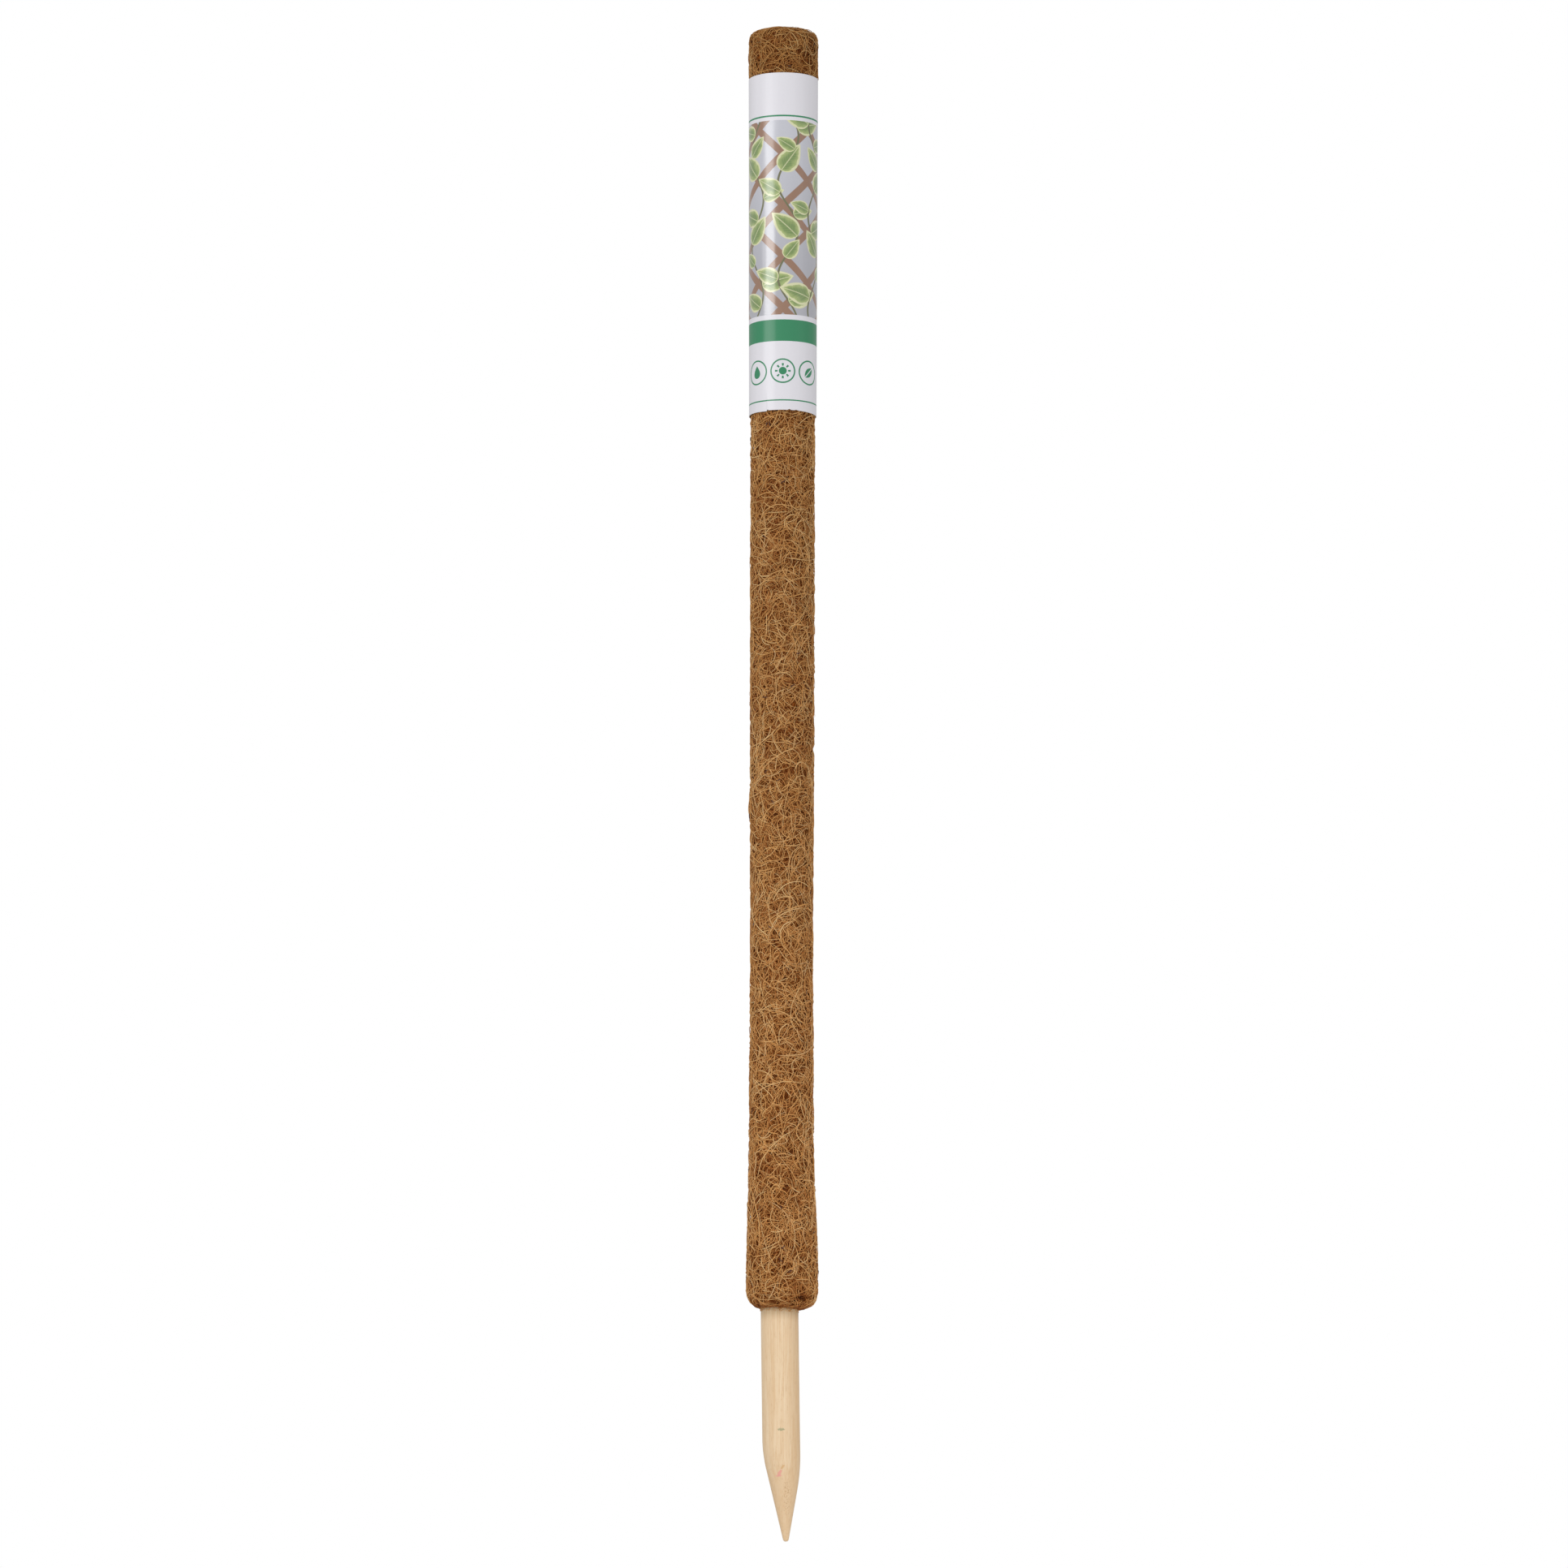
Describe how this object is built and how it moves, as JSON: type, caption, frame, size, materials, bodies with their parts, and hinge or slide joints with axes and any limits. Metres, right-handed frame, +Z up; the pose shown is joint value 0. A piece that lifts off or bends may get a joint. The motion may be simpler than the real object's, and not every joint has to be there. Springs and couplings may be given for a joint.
{
  "type": "moss pole",
  "caption": "Climbing-plant support pole: a pointed round wooden stake wrapped in a thick coconut-fibre mat, with a printed card sleeve that slides off its top.",
  "frame": {"origin": "on the stake's axis at the mat's lower end, which is where the soil comes to when the pole is pushed in", "axes": "+Z up along the stake; -Y is the front, and the seams of the mat and the sleeve face +Y"},
  "size_m": [0.043, 0.043, 0.9],
  "materials": {
    "wood": "bare turned wood, fine straight grain",
    "coir": "matted coconut fibre",
    "card": "printed card with a gloss coat",
    "tape": "double-sided tape",
    "wire": "galvanised staple wire"
  },
  "bodies": {
    "pole": {"stake": "wood", "coir_mat": "coir", "seam_staple_1": "wire", "seam_staple_2": "wire", "seam_staple_3": "wire", "seam_staple_4": "wire", "seam_staple_5": "wire", "seam_staple_6": "wire", "seam_staple_7": "wire"},
    "sleeve": {"label_sleeve": "card", "sleeve_lap_tape": "tape"}
  },
  "joints": [
    {"name": "sleeve_slide", "type": "slide", "parent": "pole", "child": "sleeve", "axis": [0, 0, 1], "range_m": [-0.44, 0.25]}
  ]
}
